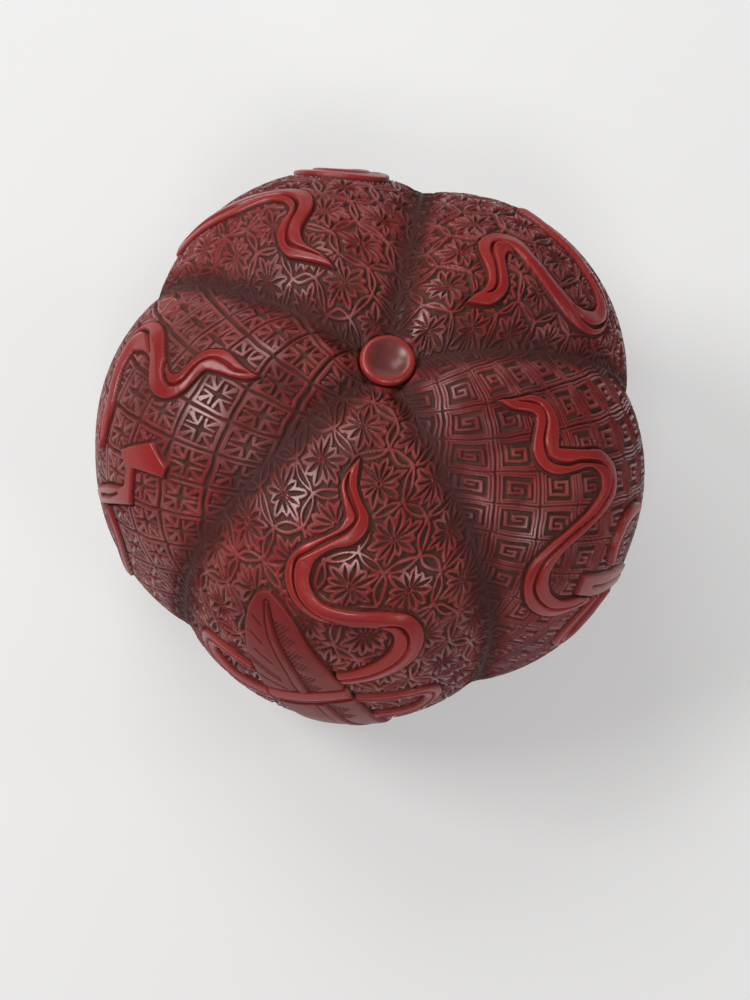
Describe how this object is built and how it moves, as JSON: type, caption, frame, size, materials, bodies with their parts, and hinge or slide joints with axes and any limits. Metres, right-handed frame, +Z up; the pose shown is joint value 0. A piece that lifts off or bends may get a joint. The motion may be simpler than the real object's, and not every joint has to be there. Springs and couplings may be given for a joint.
{
  "type": "lobed lacquer covered box",
  "caption": "Lobed melon-form covered box: carved red lacquer over a wood core, lift-off domed lid with a dished stem button, upright inner lip, black lacquer lining and flat foot.",
  "frame": {"origin": "centre of the flat foot, on the box's vertical axis, in the plane that the box rests on", "axes": "+Z up through the stem button; -Y points at the crest of the front lobe, and a groove lies at +Y"},
  "size_m": [0.11, 0.1091, 0.0781],
  "materials": {
    "carved_lacquer": "thick red lacquer carved in relief: bright rounded ribbons and duller diaper tops over a dark brown cut ground, satin gloss",
    "polished_lacquer": "red lacquer, smooth and polished, worn darker in the dish",
    "black_lacquer": "black lacquer, smooth, satin gloss with faint rubbing marks",
    "core_wood": "bare turned softwood, hidden under the lacquer"
  },
  "bodies": {
    "base": {"base_carved_coat": "carved_lacquer", "base_core": "core_wood", "base_lining": "black_lacquer", "base_rim_band": "black_lacquer", "base_lip": "black_lacquer", "foot_ring": "black_lacquer", "foot_panel": "black_lacquer"},
    "lid": {"lid_carved_coat": "carved_lacquer", "lid_core": "core_wood", "lid_lining": "black_lacquer", "lid_rim_band": "black_lacquer", "stem_button": "polished_lacquer", "stem_dowel": "core_wood"}
  },
  "joints": [
    {"name": "lid_lift", "type": "slide", "parent": "base", "child": "lid", "axis": [0, 0, 1], "range_m": [0, 0.08]}
  ]
}
